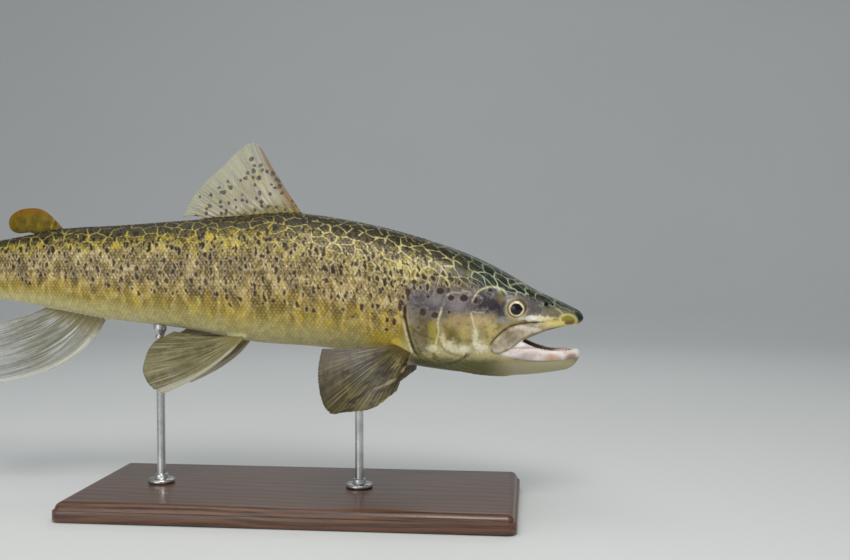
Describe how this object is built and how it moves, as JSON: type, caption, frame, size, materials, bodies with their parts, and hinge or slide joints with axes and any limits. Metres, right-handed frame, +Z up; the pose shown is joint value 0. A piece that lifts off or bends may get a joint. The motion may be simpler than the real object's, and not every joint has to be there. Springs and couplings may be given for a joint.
{
  "type": "brown trout",
  "caption": "Life-size brown trout with open mouth and spread fins, held level above a flat board by short rods.",
  "frame": {"origin": "centre of the underside of the stand's board, on the floor", "axes": "+X towards the fish's head, +Z up, the fish's right side faces -Y"},
  "size_m": [0.7009, 0.18, 0.3473],
  "materials": {
    "head_skin": "wet fish skin, dark olive above with dark spots, grey-lilac and yellow-olive on the cheek",
    "gill_cover_skin": "wet fish skin, lilac grey above and yellow-olive below, round dark spots",
    "jaw_skin": "wet fish skin, pinkish grey-white jaws",
    "tongue": "wet, pale pink",
    "eye": "clear gloss over a pale gold iris and a black pupil",
    "trunk_skin": "wet scaled skin, golden brown with dense dark spots, nearly black back, pale olive belly",
    "dorsal_skin": "thin cream-grey fin with rows of dark spots",
    "adipose_skin": "smooth amber-brown fleshy fin",
    "fin_skin": "thin olive-grey fin with pale rays and a whitish leading edge",
    "pectoral_skin": "thin olive-brown mottled fin with darker bars",
    "tail_fin_skin": "olive-brown rayed fin with faint spots",
    "stand_wood": "dark stained hardwood, satin lacquer",
    "stand_metal": "plain brushed steel"
  },
  "bodies": {
    "root": {"head": "head_skin", "lower_jaw": "jaw_skin", "tongue": "tongue", "eye_R": "eye", "eye_L": "eye", "gill_cover_R": "gill_cover_skin", "gill_cover_L": "gill_cover_skin", "maxilla_R": "jaw_skin", "maxilla_L": "jaw_skin", "trunk": "trunk_skin", "tail_stalk": "trunk_skin", "dorsal_fin": "dorsal_skin", "adipose_fin": "adipose_skin", "anal_fin": "fin_skin", "pelvic_fin_R": "fin_skin", "pelvic_fin_L": "fin_skin", "pectoral_fin_R": "pectoral_skin", "pectoral_fin_L": "pectoral_skin", "tail_fin": "tail_fin_skin", "stand_base": "stand_wood", "stand_rod_front": "stand_metal", "stand_rod_rear": "stand_metal"}
  },
  "joints": []
}
